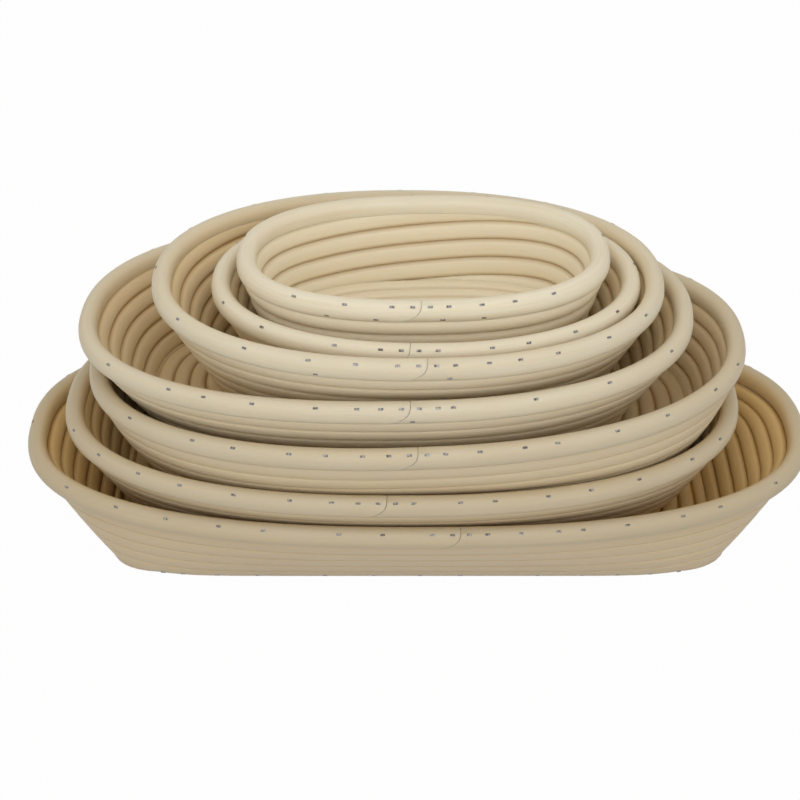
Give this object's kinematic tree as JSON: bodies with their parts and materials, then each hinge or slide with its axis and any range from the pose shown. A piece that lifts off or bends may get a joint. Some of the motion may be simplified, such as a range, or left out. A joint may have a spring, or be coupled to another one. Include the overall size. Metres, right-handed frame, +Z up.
{
  "type": "nested proofing basket set",
  "caption": "Oval bread proofing baskets wound from pale cane, each with a flared coiled wall and a thick bent rim closed by a pinned scarf, nested in a stack from large to small",
  "frame": {"origin": "middle of the footprint of the lowest basket, on the table it stands on", "axes": "+X along the length of the baskets to the right in the picture, +Y away from the camera, +Z up"},
  "size_m": [0.4406, 0.2123, 0.1698],
  "materials": {
    "cane": "peeled pale cane, satin, fine grain along the length, darker in the grooves",
    "brad_steel": "dull bright steel brad ends set about flush"
  },
  "bodies": {
    "basket_1": {"basket_1_floor": "cane", "basket_1_wall": "cane", "basket_1_rim": "cane", "basket_1_brad_1": "brad_steel", "basket_1_brad_2": "brad_steel", "basket_1_brad_3": "brad_steel", "basket_1_brad_4": "brad_steel"},
    "basket_2": {"basket_2_floor": "cane", "basket_2_wall": "cane", "basket_2_rim": "cane", "basket_2_brad_1": "brad_steel", "basket_2_brad_2": "brad_steel", "basket_2_brad_3": "brad_steel", "basket_2_brad_4": "brad_steel"},
    "basket_3": {"basket_3_floor": "cane", "basket_3_wall": "cane", "basket_3_rim": "cane", "basket_3_brad_1": "brad_steel", "basket_3_brad_2": "brad_steel", "basket_3_brad_3": "brad_steel", "basket_3_brad_4": "brad_steel"},
    "basket_4": {"basket_4_floor": "cane", "basket_4_wall": "cane", "basket_4_rim": "cane", "basket_4_brad_1": "brad_steel", "basket_4_brad_2": "brad_steel", "basket_4_brad_3": "brad_steel", "basket_4_brad_4": "brad_steel"},
    "basket_5": {"basket_5_floor": "cane", "basket_5_wall": "cane", "basket_5_rim": "cane", "basket_5_brad_1": "brad_steel", "basket_5_brad_2": "brad_steel", "basket_5_brad_3": "brad_steel", "basket_5_brad_4": "brad_steel"},
    "basket_6": {"basket_6_floor": "cane", "basket_6_wall": "cane", "basket_6_rim": "cane", "basket_6_brad_1": "brad_steel", "basket_6_brad_2": "brad_steel", "basket_6_brad_3": "brad_steel", "basket_6_brad_4": "brad_steel"},
    "basket_7": {"basket_7_floor": "cane", "basket_7_wall": "cane", "basket_7_rim": "cane", "basket_7_brad_1": "brad_steel", "basket_7_brad_2": "brad_steel", "basket_7_brad_3": "brad_steel", "basket_7_brad_4": "brad_steel"}
  },
  "joints": [
    {"name": "lift_basket_2", "type": "slide", "parent": "basket_1", "child": "basket_2", "axis": [0, 0, 1], "range_m": [0, 0.05]},
    {"name": "lift_basket_3", "type": "slide", "parent": "basket_2", "child": "basket_3", "axis": [0, 0, 1], "range_m": [0, 0.06]},
    {"name": "lift_basket_4", "type": "slide", "parent": "basket_3", "child": "basket_4", "axis": [0, 0, 1], "range_m": [0, 0.065]},
    {"name": "lift_basket_5", "type": "slide", "parent": "basket_4", "child": "basket_5", "axis": [0, 0, 1], "range_m": [0, 0.06]},
    {"name": "lift_basket_6", "type": "slide", "parent": "basket_5", "child": "basket_6", "axis": [0, 0, 1], "range_m": [0, 0.065]},
    {"name": "lift_basket_7", "type": "slide", "parent": "basket_6", "child": "basket_7", "axis": [0, 0, 1], "range_m": [0, 0.06]}
  ]
}
